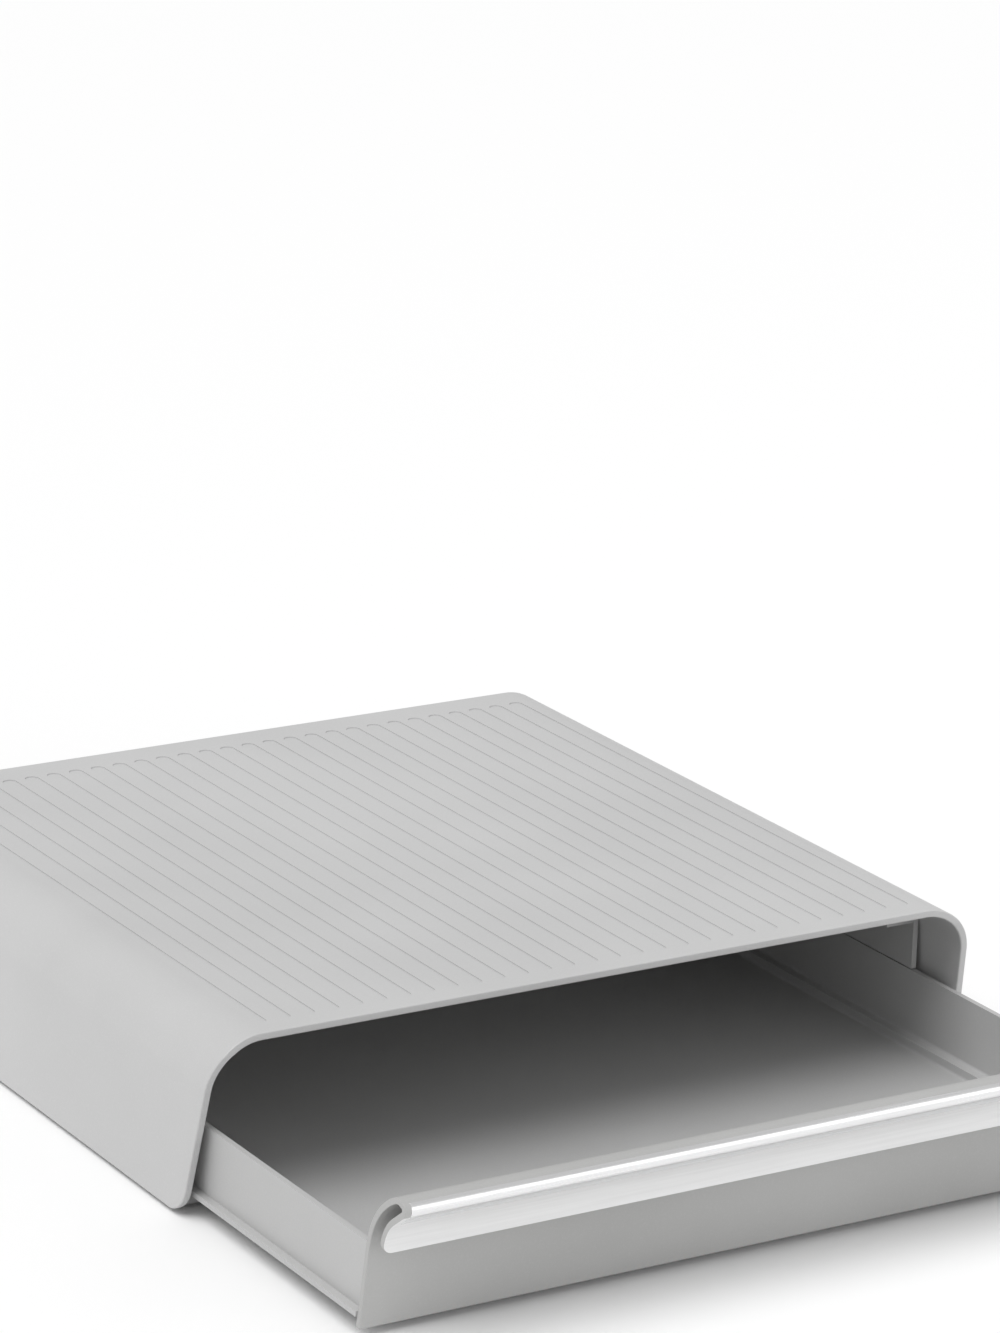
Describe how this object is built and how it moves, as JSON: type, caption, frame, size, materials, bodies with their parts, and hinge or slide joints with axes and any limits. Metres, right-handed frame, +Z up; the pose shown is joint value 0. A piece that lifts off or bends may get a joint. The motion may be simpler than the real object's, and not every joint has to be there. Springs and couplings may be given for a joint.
{
  "type": "coffee pod drawer",
  "caption": "Low storage drawer for coffee pods: a C-shaped shell with a channelled top to stand a machine on, and a sliding tray with a hooked front.",
  "frame": {"origin": "on the table, at the middle of the space that the object takes up with its drawer part-way out", "axes": "+X to the right, -Y to the front (the way the drawer opens), +Z up"},
  "size_m": [0.343, 0.4562, 0.0725],
  "materials": {
    "shell_plastic": "satin",
    "tray_plastic": "satin",
    "front_plastic": "satin",
    "trim_silver": "satin",
    "screw_steel": "satin",
    "rubber": "matte"
  },
  "bodies": {
    "case": {"shell": "shell_plastic", "rear_panel": "shell_plastic", "runner_left": "tray_plastic", "runner_right": "tray_plastic", "guide_left": "tray_plastic", "guide_right": "tray_plastic", "case_screws": "screw_steel", "rear_buffers": "rubber", "foot_front_left": "rubber", "foot_front_right": "rubber", "foot_rear_left": "rubber", "foot_rear_right": "rubber"},
    "drawer": {"tray": "tray_plastic", "drawer_front": "front_plastic", "pull_trim": "trim_silver", "front_screws": "screw_steel"}
  },
  "joints": [
    {"name": "drawer_slide", "type": "slide", "parent": "case", "child": "drawer", "axis": [0, -1, 0], "range_m": [-0.121, 0.109]}
  ]
}
